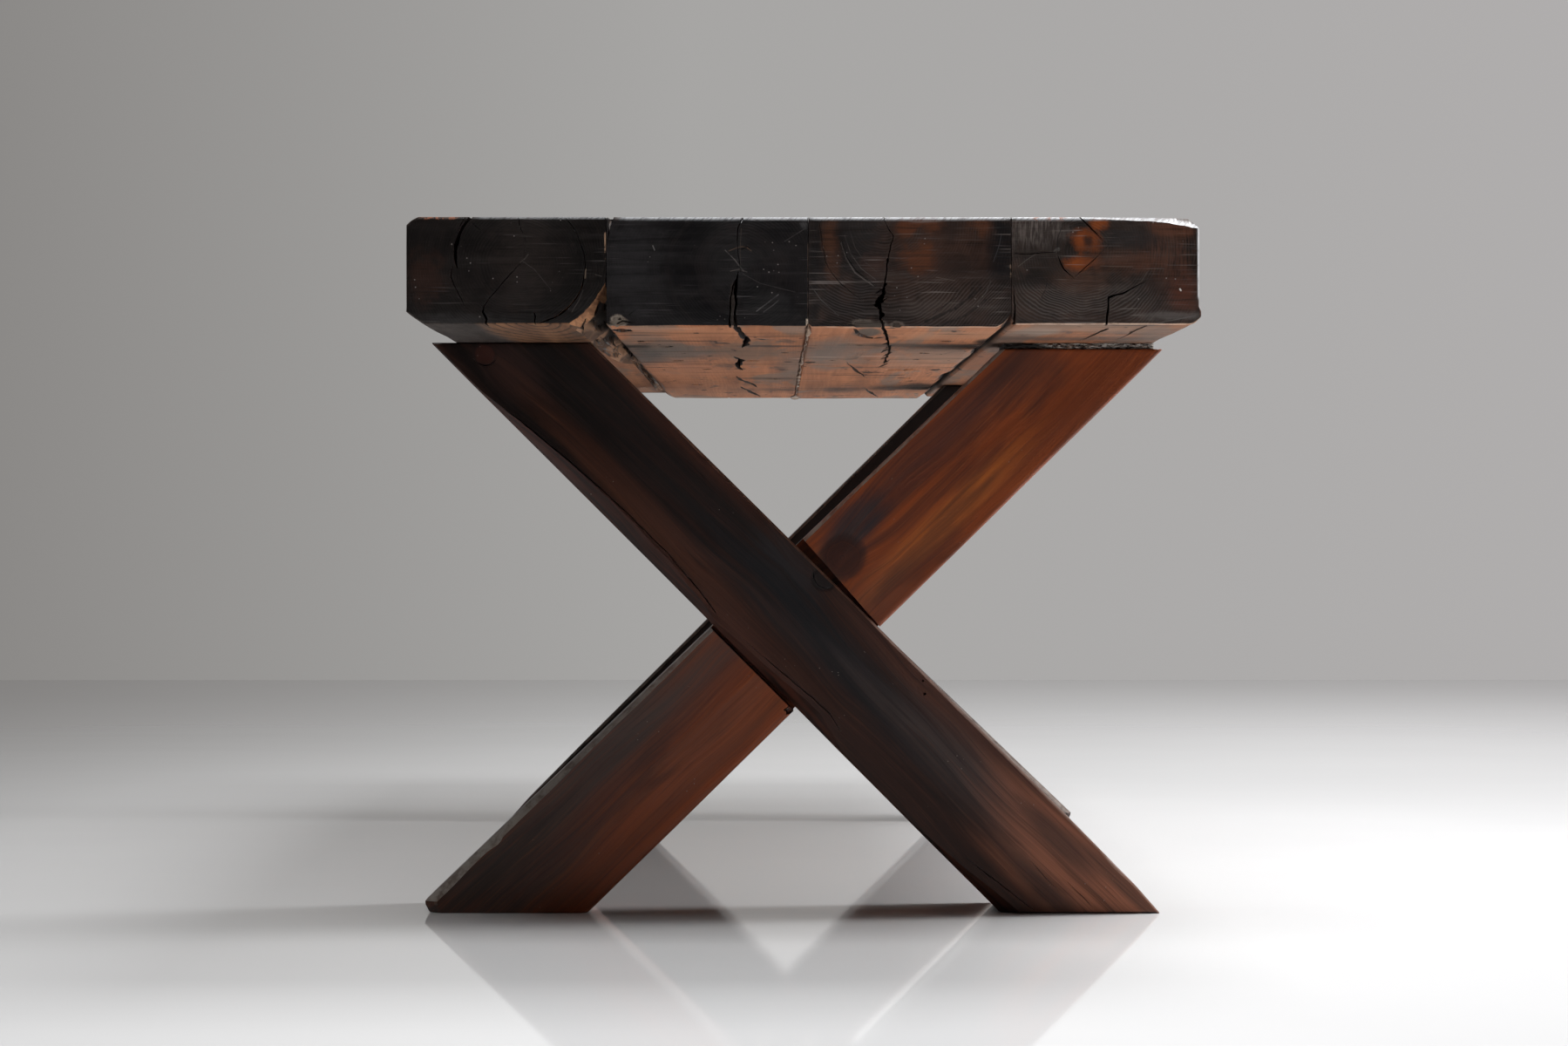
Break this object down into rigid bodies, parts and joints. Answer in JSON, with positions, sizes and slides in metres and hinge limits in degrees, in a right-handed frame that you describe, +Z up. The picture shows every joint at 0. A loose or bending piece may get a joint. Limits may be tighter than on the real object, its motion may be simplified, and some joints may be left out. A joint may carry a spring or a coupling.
{
  "type": "dining table",
  "caption": "Heavy dining table: a slab top of squared timbers laid side by side, carried near each end by a crossed pair of half-lapped timber legs.",
  "frame": {"origin": "on the floor, at the middle of the table's footprint", "axes": "+X across the table, +Y along it, +Z up"},
  "size_m": [0.832, 2, 0.75],
  "materials": {
    "top_timber": "dark stain and satin lacquer on the top, sides and ends, bare sawn wood below",
    "leg_timber": "red-brown stain under satin lacquer",
    "dowel_wood": "bare turned hardwood",
    "filler": "matt pale filler",
    "packing": "rough dark offcut",
    "fixing_steel": "dull zinc plate"
  },
  "bodies": {
    "root": {"top_beam_left_outer": "top_timber", "top_beam_left_inner": "top_timber", "top_beam_right_inner": "top_timber", "top_beam_right_outer": "top_timber", "joint_dowels_left": "dowel_wood", "joint_dowels_centre": "dowel_wood", "joint_dowels_right": "dowel_wood", "centre_joint_filler": "filler", "near_leg_through": "leg_timber", "near_leg_lapped": "leg_timber", "near_packer": "packing", "near_lap_screws": "fixing_steel", "near_lap_washers": "fixing_steel", "near_top_screws": "fixing_steel", "near_top_washers": "fixing_steel", "far_leg_through": "leg_timber", "far_leg_lapped": "leg_timber", "far_packer": "packing", "far_lap_screws": "fixing_steel", "far_lap_washers": "fixing_steel", "far_top_screws": "fixing_steel", "far_top_washers": "fixing_steel"}
  },
  "joints": []
}
